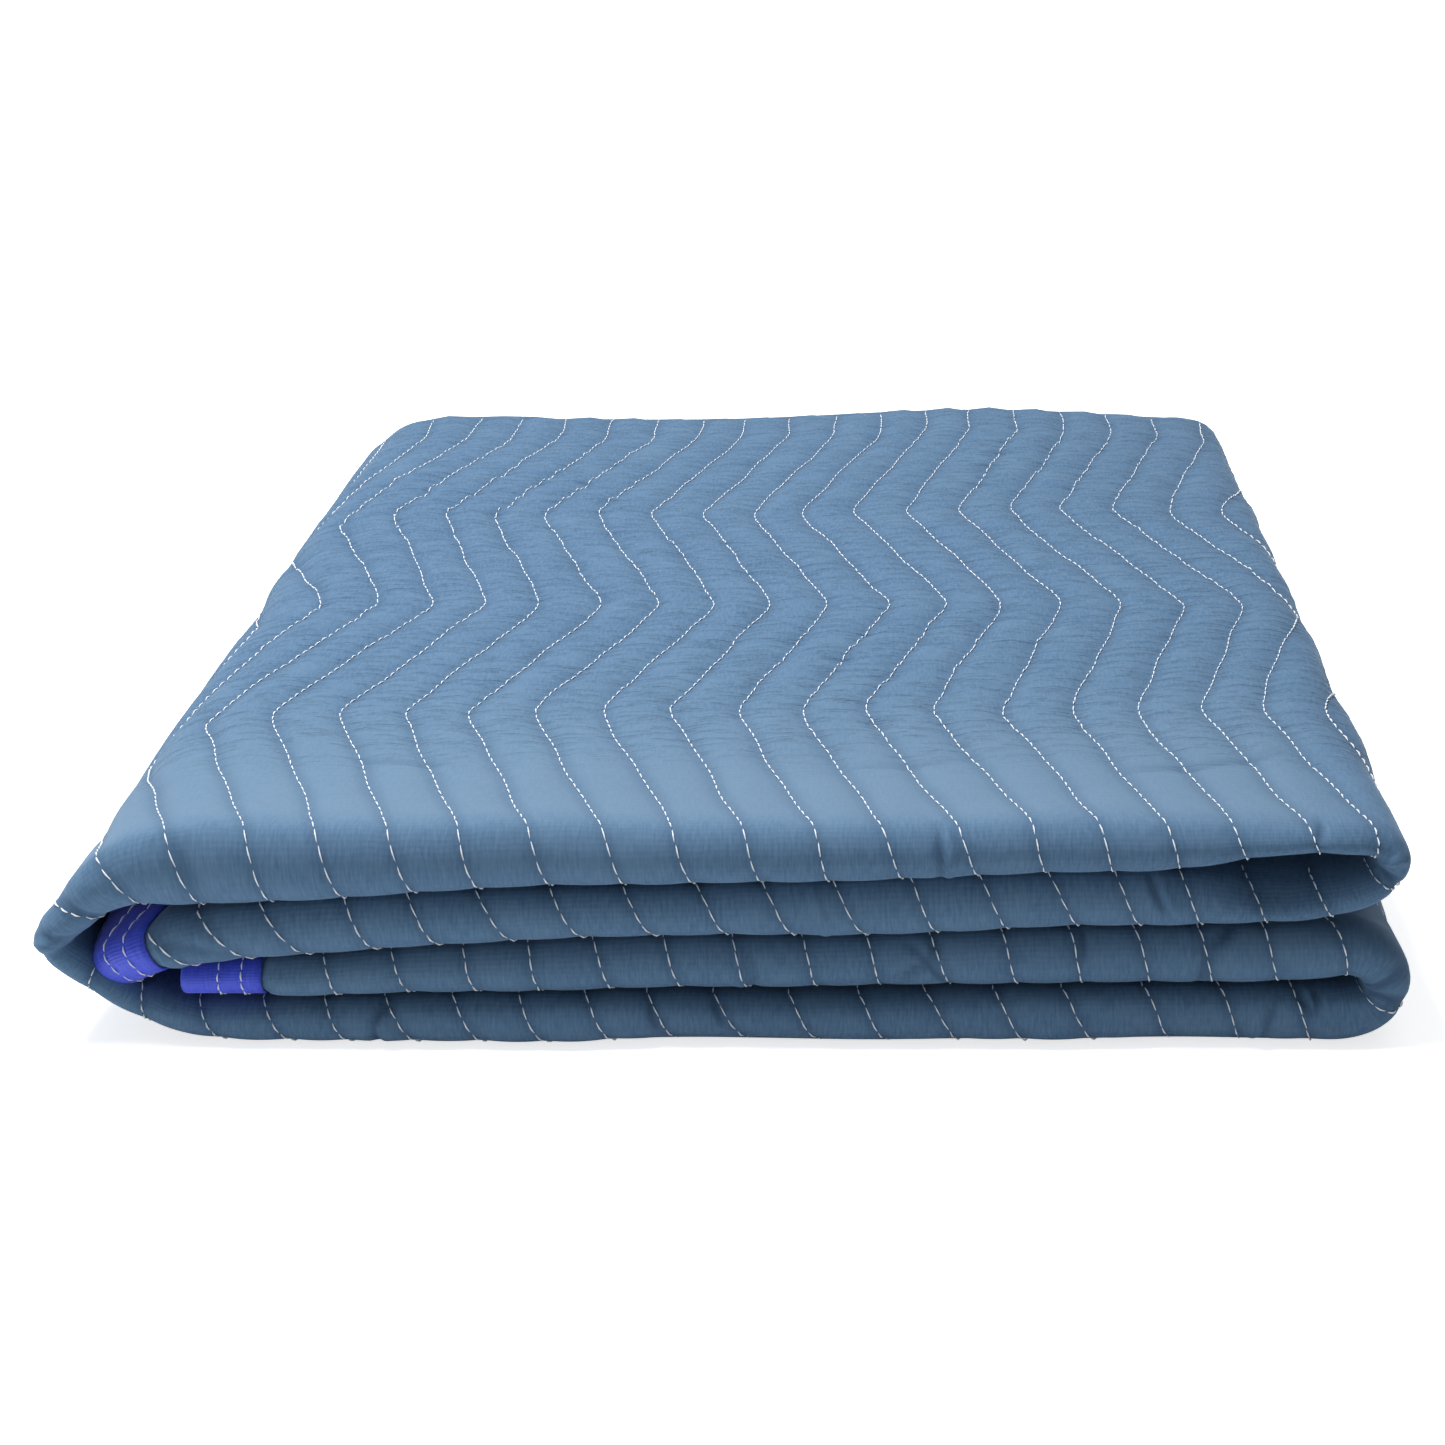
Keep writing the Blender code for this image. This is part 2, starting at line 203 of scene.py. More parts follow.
# How far the stitch rows have crept sideways, in mm, at the five turns of the zigzag. The first
# number is that of the row, counted from the edge under the upper binding.
ROW_DRIFT = (
    (0, 37, 71, 55, 55, 55),
    (2, 17.5, 54.5, 33, 33, 33),
    (4, 13.8, 51, 30, 30, 30),
    (11, 13, 50, 30, 30, 30),
    (14, 10.5, 44, 24, 24, 24),
    (17, 6, 4, 2, 2, 2),
    (18, 4, -6, -5, 0, 0),
    (20, -4.3, -12, -9, 1, 0.5),
    (24, -11, -7.5, -6.3, 1.4, -0.5),
    (28, -12.7, -6.4, -7.1, -1.4, -3.6),
    (32, -16.7, -3.7, -8, -1.9, -6.2),
    (36, -17.7, -6, -13.4, -5.6, -9.8),
    (38, -22, -10, -14, -8, -12),
    (39, -12, -11, -14, -12, -14),
    (40, -18, -6, -14, -14, -16),
    (42, -22, 14, -12, -16, -18),
    (45, -29, 7, -20, -24, -24),
    (48, -34, 2, -28, -28, -28),
    (54, -36, 0, -28, -28, -28),
    (57, -30, -24, -26, -26, -26),
    (59, -21, -24, -26, -26, -26),
    (62, -26, -26, -26, -26, -26),
    (65, -31, -31, -31, -31, -31),
    (70, -36.5, -36.5, -36.5, -36.5, -36.5),
    (75, -41, -41, -41, -41, -41),
)

# Swell of the package over the floor: x and y of the middle, radius (mm), share of the height
SWELLS = ((105, 200, 130, 0.065), (-20, 230, 90, -0.03), (215, 225, 70, -0.05))

# Droop of layer 2's taped end at the front: angle (degrees), reach along the line and back (mm)
DROOP = (32, 38, 18)

# Soft pulls on the front rolls, in mm: stretch of the line, its x or z there, reach along the
# line, reach back from the front, the pull, and 1 or -1 where only the upper or lower plies give.
# They turn layer 2's taped end back, set the wrap's lower arm behind it, pinch the wrap at its
# left tip, open the hollow beside the upper fold, and let layers 2 and 3 lie a little back.
PULLS = (
    ("layer 2", "x", -183, 30, 30, (-13, 0, 0), 0),
    ("layer 2", "x", -207, 16, 16, (-5, 0, 0), 1),
    ("layer 2", "x", -209, 14, 60, (0, 9, 0), 0),
    ("wrap", "z", 22, 24, 60, (0, 6, 0), 0),
    ("wrap", "z", 39, 8, 30, (-3.5, -1, 0), 0),
    ("layer 1", "x", 188, 24, 24, (0, 0, 2.5), 1),
    ("layer 2", "x", 186, 20, 26, (0, 4, -6.0), 1),
    ("layer 2", "x", 20, 150, 40, (0, 2.4, 0), 0),
    ("layer 3", "x", 20, 150, 40, (0, 1.6, 0), 0),
)

# Slight waviness of all the front rolls: its reach back, and its height along y and along z
WAVY_REACH, WAVY_Y, WAVY_Z = 0.034, 0.0011, 0.0008

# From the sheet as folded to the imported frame
FOLD_SHIFT = (-0.00055, -0.00126, -0.00107)


def smooth_curve(knots, steps):
    """Smooth curve through the knots, with steps points for each interval."""
    knots = np.asarray(knots, float)
    padded = np.vstack([2 * knots[0] - knots[1], knots, 2 * knots[-1] - knots[-2]])
    gaps = np.sqrt(np.linalg.norm(np.diff(padded[:, :2], axis=0), axis=1))
    times = np.concatenate([[0.0], np.cumsum(gaps)])
    curve = []
    for i in range(1, len(knots)):
        p0, p1, p2, p3 = padded[i - 1:i + 3]
        t0, t1, t2, t3 = times[i - 1:i + 3]
        t = np.linspace(t1, t2, steps, endpoint=False)[:, None]
        a1 = p0 + (p1 - p0) * (t - t0) / (t1 - t0)
        a2 = p1 + (p2 - p1) * (t - t1) / (t2 - t1)
        a3 = p2 + (p3 - p2) * (t - t2) / (t3 - t2)
        b1 = a1 + (a2 - a1) * (t - t0) / (t2 - t0)
        b2 = a2 + (a3 - a2) * (t - t1) / (t3 - t1)
        curve.append(b1 + (b2 - b1) * (t - t1) / (t2 - t1))
    curve.append(knots[-1:])
    return np.vstack(curve)


def run_length(points):
    """Distance along a line at each of its points."""
    steps = np.linalg.norm(np.diff(points[:, :2], axis=0), axis=1)
    return np.concatenate([[0.0], np.cumsum(steps)])


def soften(line, step, softness):
    """A line in even steps with its bends rounded off."""
    reach = int(3 * softness / step)
    offsets = np.arange(-reach, reach + 1) * step
    weights = np.exp(-0.5 * (offsets / softness) ** 2)
    weights /= weights.sum()
    head = 2 * line[0] - line[reach:0:-1]
    tail = 2 * line[-1] - line[-2:-reach - 2:-1]
    padded = np.vstack([head, line, tail])
    return np.stack([np.convolve(column, weights, "valid") for column in padded.T], axis=1)


# The middle line in even steps, and how far along it each stretch starts and ends
knots = [row for rows in MIDDLE_LINE.values() for row in rows]
rough = smooth_curve(knots, LINE_STEPS) * MM
rough_run = run_length(rough)
even = np.arange(0.0, rough_run[-1], LINE_STEP)
line = np.stack([np.interp(even, rough_run, rough[:, i]) for i in range(3)], axis=1)
line = soften(line, LINE_STEP, LINE_SOFTNESS)
line_run = run_length(line)
width = line_run[-1]
marks = {}
first = 0
for name, rows in MIDDLE_LINE.items():
    last = first + len(rows) - 1
    marks[name] = (rough_run[first * LINE_STEPS] / rough_run[-1] * width,
                   rough_run[last * LINE_STEPS] / rough_run[-1] * width)
    first = last + 1
head = line[0] + (line[0] - line[1]) / line_run[1] * LINE_OVERRUN
tail = line[-1] + (line[-1] - line[-2]) / (width - line_run[-2]) * LINE_OVERRUN
head[2], tail[2] = line[0][2], line[-1][2]
line = np.vstack([head, line, tail])
line_run = np.concatenate([[-LINE_OVERRUN], line_run, [width + LINE_OVERRUN]])
slope = np.gradient(line[:, :2], line_run, axis=0)
heading = np.unwrap(np.arctan2(slope[:, 1], slope[:, 0]))
setback_places = [place for name in SETBACK for place in marks[name]]
setback_values = [SETBACK[name] * MM for name in SETBACK for _ in marks[name]]
order = np.argsort(setback_places)
setback = np.interp(line_run, np.array(setback_places)[order], np.array(setback_values)[order])

# Stretches of one layer cut from front to back, along the sheet
outer_radius = 1.5 * PLY_PITCH
inner_radius = 0.5 * PLY_PITCH
half_ply = (PLY_PITCH - PLY_GAP) / 2
crease_room = inner_radius + half_ply
bends = math.pi * (outer_radius + 2 * inner_radius)
back_run = (SHEET_LENGTH - bends + 2 * crease_room) / PLIES
short_run = back_run - crease_room
front_y = -(back_run + outer_radius + half_ply) / 2 + outer_radius + half_ply
back_y = front_y + short_run
roll_at = back_run
face_at = roll_at + math.pi * outer_radius
crease_at = face_at + short_run
third_at = crease_at + math.pi * inner_radius
turn_at = third_at + short_run
fourth_at = turn_at + math.pi * inner_radius
fold_line = roll_at + math.pi * outer_radius / 2
middle_run = fold_line + ZIGZAG_TURNS[MIDDLE_TURN][0] * MM - face_at


def layer_cut(t):
    """y, ply position in pitches, and outward normal (along y, across the layer) at t."""
    front_angle = (t - roll_at) / outer_radius
    back_angle = (t - crease_at) / inner_radius
    turn_angle = (t - turn_at) / inner_radius
    zero, one = np.zeros_like(t), np.ones_like(t)
    where = [t <= end for end in (roll_at, face_at, crease_at, third_at, turn_at, fourth_at)]
    y = np.select(where, [
        front_y + back_run - t,
        front_y - outer_radius * np.sin(front_angle),
        front_y + t - face_at,
        back_y + inner_radius * np.sin(back_angle),
        back_y - (t - third_at),
        front_y - inner_radius * np.sin(turn_angle),
    ], front_y + t - fourth_at)
    ply = np.select(where, [1.5 * one, 1.5 * np.cos(front_angle), -1.5 * one,
                            -1.0 - 0.5 * np.cos(back_angle), -0.5 * one,
                            -0.5 * np.cos(turn_angle)], 0.5 * one)
    out_y = np.select(where, [zero, -np.sin(front_angle), zero, np.sin(back_angle), zero,
                              -np.sin(turn_angle)], zero)
    out_n = np.select(where, [one, np.cos(front_angle), -one, -np.cos(back_angle), one,
                              np.cos(turn_angle)], -one)
    return y, ply, out_y, out_n


def swell(x, y):
    """Share by which the package is higher or lower than the plain stack."""
    stations = (front_y, front_y + middle_run, back_y)
    shares = []
    for station in stations:
        share = np.zeros_like(x)
        for middle_x, middle_y, radius, rise in SWELLS:
            reach = np.hypot(x - middle_x * MM, station - middle_y * MM) / (radius * MM)
            share = share + rise * np.exp(-reach * reach)
        shares.append(share)
    near = np.clip((y - stations[0]) / (stations[1] - stations[0]), 0, 1)
    far = np.clip((y - stations[1]) / (stations[2] - stations[1]), 0, 1)
    return shares[0] + (shares[1] - shares[0]) * near + (shares[2] - shares[1]) * far


def grain(a, b, seed):
    """Smooth noise over two lengths, about -1 to 1, from waves in mixed directions."""
    dice = np.random.default_rng(seed)
    total = np.zeros_like(a)
    for size in (1.0, 0.62, 0.41):
        for _ in range(4):
            angle = dice.uniform(0, 2 * math.pi)
            push = dice.uniform(0, 2 * math.pi)
            total += size * np.sin((a * math.cos(angle) + b * math.sin(angle)) / size + push)
    return total / 4.0


def place_at(stretch, axis, value):
    """Distance along the line where it passes x or z (mm) within one stretch."""
    runs = np.linspace(*marks[stretch], 200)
    found = np.interp(runs, line_run, line[:, "xz".index(axis)])
    if found[0] > found[-1]:
        runs, found = runs[::-1], found[::-1]
    return np.interp(value * MM, found, runs)


# Turn and fall of the drooping end at each step of the middle line
droop_turn = math.radians(DROOP[0]) * np.exp(-(line_run / (DROOP[1] * MM)) ** 2)
run_steps = np.diff(line_run, append=line_run[-1])
droop_fall = -np.cumsum((np.sin(droop_turn) * run_steps)[::-1])[::-1]


def drooped(s, across, y):
    """Shift in x and z that the drooping end adds to points of the layers."""
    back = np.clip((y - front_y + outer_radius) / (DROOP[2] * MM), 0, None)
    share = np.exp(-back * back)
    turn, extra = np.interp(s, line_run, heading), np.interp(s, line_run, droop_turn) * share
    fall = np.interp(s, line_run, droop_fall) * share
    return (-across * (np.sin(turn + extra) - np.sin(turn)),
            fall + across * (np.cos(turn + extra) - np.cos(turn)))


def pulled(points, s, ply):
    """The same points with the waviness and the pulls of the front rolls."""
    x, y, z = points.T.copy()
    front = np.exp(-((y - front_y) / WAVY_REACH) ** 2)
    points[:, 1] += WAVY_Y * grain(s / 0.021, 0 * s, 21) * front
    points[:, 2] += WAVY_Z * grain(x / 0.030, z / 0.050, 22) * front * np.clip(z / 0.010, 0, 1)
    for stretch, axis, value, reach_s, reach_y, pull, side in PULLS:
        off = (s - place_at(stretch, axis, value)) / (reach_s * MM)
        back = np.clip((y - front_y + outer_radius) / (reach_y * MM), 0, None)
        share = np.clip(0.5 + 0.4 * side * ply, 0, 1) if side else 1.0
        points += (share * np.exp(-off * off - back * back) * MM)[:, None] * np.array(pull)
    return points


def lay(s, t, w):
    """Points of the flat sheet laid in the folded package; w is the height off mid-ply."""
    y, ply, out_y, out_n = layer_cut(t)
    x = np.interp(s, line_run, line[:, 0])
    z = np.interp(s, line_run, line[:, 1])
    pitch = (np.interp(s, line_run, line[:, 2]) - LAYER_GAP) / PLIES
    turn = np.interp(s, line_run, heading)
    across = ply * pitch + w * out_n
    y = y + w * out_y * PLY_PITCH / pitch
    x = x - across * np.sin(turn)
    z = z + across * np.cos(turn)
    y = y + np.interp(s, line_run, setback)
    z = z * (1 + swell(x, y))
    droop_x, droop_z = drooped(s, across, y)
    x, z = x + droop_x, z + droop_z
    points = pulled(np.stack([x, y, z], axis=1), s, ply) + FOLD_SHIFT
    points[:, 2] = np.maximum(points[:, 2], 0.0)
    return points


def ply_half(s):
    """Half the thickness that one ply has in the layer at s."""
    return ((np.interp(s, line_run, line[:, 2]) - LAYER_GAP) / PLIES - PLY_GAP) / 2


def half_thickness(s):
    """Half the ply's thickness at s, thinner where a binding grips it."""
    half = ply_half(s)
    for edge, end in ((s, 0.0), (width - s, width)):
        gripped = ply_half(end) - BINDING_THICKNESS - BINDING_CLEARANCE
        half = np.where(edge < BINDING_WIDTH + 2 * BINDING_CLEARANCE, gripped, half)
    return half


def zigzag(t):
    """Sideways swing of the stitch rows at t, from -1 to 1, with rounded turns."""
    return np.interp(t, zigzag_run, zigzag_swing)


zigzag_run = np.arange(0.0, SHEET_LENGTH, ZIGZAG_STEP)
turn_places = [fold_line + MM * turn[0] for turn in ZIGZAG_TURNS]
turn_sides = [turn[1] for turn in ZIGZAG_TURNS]
zigzag_swing = soften(np.stack([np.interp(zigzag_run, turn_places, turn_sides)], axis=1),
                      ZIGZAG_STEP, ZIGZAG_ROUNDING)[:, 0]


def edge_room(s):
    """Distance from the nearer binding."""
    return np.minimum(s, width - s) - BINDING_WIDTH - BINDING_SHOULDER


FOLD_ROOM = 0.014
EASE_LENGTH = 0.060


def row_ease(s):
    """1 along the flat runs, falling to 0 at the folds and at both ends."""
    clear = edge_room(s)
    for name in ("upper fold", "wrap", "lower fold"):
        start, end = marks[name]
        clear = np.minimum(clear, np.maximum(start - s, s - end) - FOLD_ROOM)
    share = np.clip(clear / EASE_LENGTH, 0.0, 1.0)
    return share * share * (3 - 2 * share)


def row_wobble(row, t):
    """How far a stitch row strays from its line, in metres."""
    return (0.00045 * np.sin(t / 0.0131 + 2.4 * row) + 0.00035 * np.sin(t / 0.0061 + 4.7 * row)
            + 0.0008 * np.sin(t / 0.047 + 1.3 * row))


def row_drift(row, t):
    """How far a stitch row has crept from its even place at t."""
    table = np.array(ROW_DRIFT, float)
    at_turns = [np.interp(row, table[:, 0], column) for column in table.T[1:]]
    total = at_turns[0]
    for i in range(len(turn_places) - 1):
        share = np.clip((t - turn_places[i]) / (turn_places[i + 1] - turn_places[i]), 0, 1)
        total = total + (at_turns[i + 1] - at_turns[i]) * share
    return total * MM


def row_line(row, t):
    """Place across the sheet of a stitch row at t."""
    even = ROW_START + row * ROW_SPACING - zigzag(t) * ROW_SWING / 2
    return even + row_drift(row, t) + row_wobble(row, t)


def row_distance(s, t):
    """Distance to the nearest stitch row."""
    level = (s + zigzag(t) * ROW_SWING / 2 - ROW_START) / ROW_SPACING
    row = level
    for _ in range(3):
        row = level - row_drift(row, t) / ROW_SPACING
    row = np.round(row)
    return np.abs(s - row_line(row, t))


# Creases on the rolls: stretch of the line, x (z in a fold) and height round the roll at both ends
# (mm), rise and half width (mm). Creases on the top: x and y at both ends, rise and half width.
ROLL_CREASES = (
    ("layer 1", 72.6, -9, 72.0, 10, -1.6, 1.4),
    ("layer 1", 75.5, -9, 75.5, 9, 1.1, 1.4),
    ("layer 1", 199.0, 2, 201.0, 14, -1.3, 1.4),
    ("layer 1", -176.0, -4, -204.0, 8, -0.9, 2.8),
    ("layer 2", 34.0, 9, 30.0, -8, 1.1, 1.2),
    ("layer 2", 144.0, -10, 150.0, 2, -2.0, 1.3),
    ("layer 2", 147.5, -10, 153.5, 2, 1.1, 1.3),
    ("layer 2", -160.0, 7, -178.0, -3, -1.3, 1.8),
    ("layer 3", 4.3, -9, 4.3, 9, 1.4, 1.8),
    ("layer 3", 8.5, -9, 8.5, 6, -0.9, 1.6),
    ("layer 3", 69.5, 2, 60.5, -4, -2.2, 1.3),
    ("layer 3", 69.5, 2, 76.5, -7, -1.8, 1.3),
    ("layer 3", 69.5, 2, 72.0, 10, -1.8, 1.3),
    ("layer 3", 69.5, 2, 61.0, 7, -1.1, 1.3),
    ("layer 3", 121.0, 1, 122.5, 11, -1.6, 1.3),
    ("layer 3", 162.0, -7, 165.0, 5, -2.2, 1.4),
    ("layer 3", 165.0, 5, 175.0, 12, -2.0, 1.4),
    ("layer 3", 157.0, -2, 158.0, 11, 1.1, 1.3),
    ("layer 4", -117.0, -10, -122.0, 1, -2.2, 1.3),
    ("layer 4", -122.0, 1, -121.0, 7, -1.8, 1.3),
    ("layer 4", -114.0, -9, -118.0, 4, 1.1, 1.4),
    ("layer 4", -26.0, -10, -24.0, 2, -1.6, 1.3),
    ("layer 4", -4.5, -11, -1.0, 0, -1.4, 1.3),
    ("layer 4", 187.0, -10, 181.0, 7, 1.3, 1.3),
    ("layer 4", 190.5, -10, 185.0, 7, -1.3, 1.4),
    ("layer 4", 196.0, -11, 206.0, -2, -2.2, 1.4),
    ("layer 4", 203.0, -12, 213.0, -3, -1.8, 1.4),
    ("layer 4", 200.0, -11, 210.0, -1, 1.1, 1.4),
    ("wrap", 41.0, 12, 46.0, -8, -1.0, 1.6),
    ("wrap", 38.0, 12, 41.5, -8, 0.6, 1.6),
    ("wrap", 35.0, 12, 37.0, -8, -0.8, 1.6),
    ("wrap", 52.0, 10, 56.0, -8, -0.9, 1.9),
    ("upper fold", 62.0, 10, 66.0, -8, -1.6, 1.6),
    ("upper fold", 70.0, 8, 72.5, -8, 1.1, 1.6),
    ("lower fold", 18.0, 10, 20.0, -8, -1.6, 1.6),
    ("lower fold", 27.0, 9, 25.0, -8, -1.3, 1.8),
)
TOP_CREASES = (
    (-72, -125, -30, -125, 0.85, 1.8),
    (-53, -143, -2, -143, 1.04, 1.8),
    (-100, -146, -60, -144, 0.66, 1.8),
    (6, -128, 22, -128, 0.85, 1.8),
    (29, -136, 52, -138, 0.95, 1.8),
    (-110, -131, -78, -129, 0.66, 1.8),
    (5, -68, 43, -68, 0.76, 1.8),
    (10, -166, 39, -166, 0.66, 1.8),
    (-128, -158, -98, -161, 0.76, 1.8),
    (-195, 143, -166, 148, 1.33, 2.6),
    (-182, 128, -149, 131, 1.52, 2.9),
    (-159, 136, -124, 143, 1.52, 2.9),
    (-106, 105, -66, 111, 1.33, 2.4),
    (-99, 88, -67, 94, 1.14, 2.4),
    (-69, 216, -42, 208, 1.14, 2.6),
    (-30, 166, -5, 173, 1.14, 2.4),
    (40, 191, 75, 183, 0.95, 2.6),
    (-88, 46, -70, 47, 0.85, 2.0),
    (-55, 31, -36, 32, 1.14, 2.0),
    (-69, -22, -54, -22, 1.04, 1.8),
    (-135, -191, -98, -195, -0.85, 1.8),
    (41, -198, 87, -191, -0.66, 2.0),
    (138, -204, 198, -189, -1.04, 2.0),
    (91, -81, 119, -76, 0.76, 2.0),
    (145, -58, 169, -67, 0.85, 2.0),
    (-125, 16, -100, 27, 0.85, 2.0),
    (61, 16, 85, 8, 0.76, 2.0),
    (113, 133, 147, 123, 1.14, 2.4),
)
CREASE_BOW = 0.06

# Quilting of the outer cloth: puffs between the rows and a groove at each, their depth on the
# rolls, what the top adds to it, and their reach from the row
PUFF_DEPTH, TOP_PUFF_DEPTH, PUFF_REACH = 0.0004, 0.0009, 0.0058
GROOVE_DEPTH, TOP_GROOVE_DEPTH, GROOVE_REACH = 0.0001, 0.0003, 0.0025

# Puckers at the rows, ridges and soft waves: height, size across the sheet and along it
PUCKER_HEIGHT, PUCKER_WIDE, PUCKER_LONG, PUCKER_REACH = 0.0011, 0.0125, 0.0024, 0.0070
RIDGE_HEIGHT, RIDGE_WIDE, RIDGE_LONG = 0.0010, 0.0190, 0.0036
WAVE_HEIGHT, WAVE_WIDE, WAVE_LONG = 0.0008, 0.034, 0.019

# Patches of the top that are wrinkled most: x and y of the middle, radius (mm), share
WRINKLED = ((-120, 95, 75, 0.85), (0, 10, 70, 0.35), (150, 170, 80, 0.45), (60, -90, 50, 0.30))
crease_list = []
for stretch, x0, v0, x1, v1, rise, spread in ROLL_CREASES:
    axis = "x" if stretch.startswith("layer") else "z"
    crease_list.append((place_at(stretch, axis, x0), fold_line + v0 * MM,
                        place_at(stretch, axis, x1), fold_line + v1 * MM, rise, spread))
for x0, y0, x1, y1, rise, spread in TOP_CREASES:
    crease_list.append((place_at("layer 1", "x", x0), face_at + y0 * MM - front_y,
                        place_at("layer 1", "x", x1), face_at + y1 * MM - front_y, rise, spread))


def creases(s, t):
    """Height of the listed creases on the rolls and the top."""
    total = np.zeros_like(s)
    for s0, t0, s1, t1, rise, spread in crease_list:
        ds, dt = s1 - s0, t1 - t0
        along = np.clip(((s - s0) * ds + (t - t0) * dt) / (ds * ds + dt * dt), 0, 1)
        bow = CREASE_BOW * 4 * along * (1 - along)
        off_s, off_t = s - s0 - along * ds + bow * dt, t - t0 - along * dt - bow * ds
        fade = 0.25 + 0.75 * 4 * along * (1 - along)
        total += rise * MM * fade * np.exp(-(off_s ** 2 + off_t ** 2) / (spread * MM) ** 2)
    return total


def relief(s, t):
    """Height of the outer cloth over its plain face: quilting, puckers and soft waves."""
    gap = row_distance(s, t)
    on_top = np.clip((t - face_at - 0.002) / 0.020, 0.0, 1.0)
    height = PUFF_DEPTH - (PUFF_DEPTH + TOP_PUFF_DEPTH * on_top) * np.exp(-(gap / PUFF_REACH) ** 2)
    height -= (GROOVE_DEPTH + TOP_GROOVE_DEPTH * on_top) * np.exp(-(gap / GROOVE_REACH) ** 2)
    wrinkled = np.clip(0.25 + 0.45 * grain(s / 0.045, t / 0.045, 5), 0.05, 0.7)
    for x, y, reach, share in WRINKLED:
        off_s, off_t = s - place_at("layer 1", "x", x), t - face_at - y * MM + front_y
        wrinkled = wrinkled + share * np.exp(-(off_s ** 2 + off_t ** 2) / (reach * MM) ** 2)
    wrinkled = wrinkled * np.clip((t - face_at - 0.030) / 0.040, 0.12, 1.0)
    height += (PUCKER_HEIGHT * wrinkled * grain(s / PUCKER_WIDE, t / PUCKER_LONG, 7)
               * np.exp(-(gap / PUCKER_REACH) ** 2))
    height += RIDGE_HEIGHT * wrinkled * np.abs(grain(s / RIDGE_WIDE, t / RIDGE_LONG, 9))
    height += WAVE_HEIGHT * grain(s / WAVE_WIDE, t / WAVE_LONG, 11)
    return height + creases(s, t)


# Columns and rows of the flat grid, closest together at the bindings and in the bends
base_columns = np.linspace(0, BINDING_WIDTH + BINDING_CLEARANCE, 4).tolist()
base_columns.append(BINDING_WIDTH + BINDING_SHOULDER)
last_place = base_columns[-1]
inside_end = width - last_place
half_rows = [ROW_START + k * ROW_SPACING / 2 for k in range(int(2 * width / ROW_SPACING) + 1)]
base_columns += [s for s in half_rows if last_place + 0.004 < s < inside_end - 0.004]
base_columns += [width - s for s in reversed(base_columns[:5])]
base_columns = np.array(base_columns)

base_rows = np.linspace(0.0, roll_at - 0.010, 9).tolist() + [roll_at - 0.005]
base_rows += np.linspace(roll_at, face_at, 13).tolist() + [face_at + 0.004]
base_rows += np.linspace(face_at + 0.008, crease_at - 0.004, 9).tolist()
base_rows += np.linspace(crease_at, third_at, 6).tolist()
base_rows += np.linspace(third_at + 0.010, turn_at - 0.010, 8).tolist()
base_rows += np.linspace(turn_at, fourth_at, 5).tolist()
base_rows += np.linspace(fourth_at + 0.010, SHEET_LENGTH, 9).tolist()
base_rows = np.array(base_rows)

FLAT_THICKNESS = 0.004


def flat_grid(name, columns, rows, thickness):
    """Flat closed sheet on a grid; columns holds the place across and the height of each."""
    bpy.ops.mesh.primitive_grid_add(x_subdivisions=len(columns) - 1,
                                    y_subdivisions=len(rows) - 1, size=2.0)
    piece = bpy.context.object
    piece.name = name
    for vertex in piece.data.vertices:
        place, height = columns[round((vertex.co.x + 1) / 2 * (len(columns) - 1))]
        row = round((vertex.co.y + 1) / 2 * (len(rows) - 1))
        vertex.co = (place, rows[row], height)
    wall = piece.modifiers.new("wall", "SOLIDIFY")
    wall.thickness = thickness
    wall.offset = 0.0
    bpy.ops.object.modifier_apply(modifier="wall")
    return piece


# Two faces, which get their true distance when the sheet is laid in its folds
pad = flat_grid("quilted_pad_cloth", [(s, 0.0) for s in base_columns], base_rows, FLAT_THICKNESS)

# Stretch of the outer ply round the front rolls that is in sight
SHOWN_FROM, SHOWN_TO = roll_at - 0.011, face_at + 0.009


def is_shown(s, t):
    """True where the outer ply is seen from outside the package."""
    if SHOWN_FROM < t < SHOWN_TO:
        return True
    if face_at < t < crease_at:
        upper = marks["upper fold"][0] - 0.03 < s < marks["wrap"][1] + 0.03
        return upper or marks["lower fold"][0] - 0.02 < s < marks["lower fold"][1] + 0.02
    return False


cage = bmesh.new()
cage.from_mesh(pad.data)


def long_edges(along_sheet, least):
    """Outer edges that run one way over the shown cloth and are longer than least."""
    found = []
    for edge in cage.edges:
        a, b = edge.verts[0].co, edge.verts[1].co
        if a.z < 0 or b.z < 0:
            continue
        ds, dt = abs(a.x - b.x), abs(a.y - b.y)
        if (dt > 1e-6) != along_sheet or (ds > 1e-6 and dt > 1e-6) or max(ds, dt) < least:
            continue
        if is_shown((a.x + b.x) / 2, (a.y + b.y) / 2):
            found.append(edge)
    return found


def cut(edges, cuts):
    """Divide edges of the cage evenly, with a grid between them."""
    bmesh.ops.subdivide_edges(cage, edges=edges, cuts=cuts, use_grid_fill=True)


# Finer along the shown cloth, then across it, across the rolls, and round the three folds
cut(long_edges(True, 0.02), 21)
cut(long_edges(False, 0.008), 4)
cut([edge for edge in long_edges(False, 0.0015)
     if roll_at - 0.006 < edge.verts[0].co.y < face_at + 0.006], 1)
bent = []
for edge in cage.edges:
    a, b = edge.verts[0].co, edge.verts[1].co
    if abs(a.x - b.x) > 0.008 and abs(a.y - b.y) < 1e-6:
        if any(marks[name][0] - 0.006 < (a.x + b.x) / 2 < marks[name][1] + 0.006
               for name in ("upper fold", "wrap", "lower fold")):
            bent.append(edge)
cut(bent, 3)
bmesh.ops.triangulate(cage, faces=[f for f in cage.faces if len(f.verts) > 4])
cage.to_mesh(pad.data)
cage.free()


def flat_points(piece):
    """The points of a flat piece, one row of s, t and height for each."""
    flat = np.zeros(len(piece.data.vertices) * 3)
    piece.data.vertices.foreach_get("co", flat)
    return flat.reshape(-1, 3)


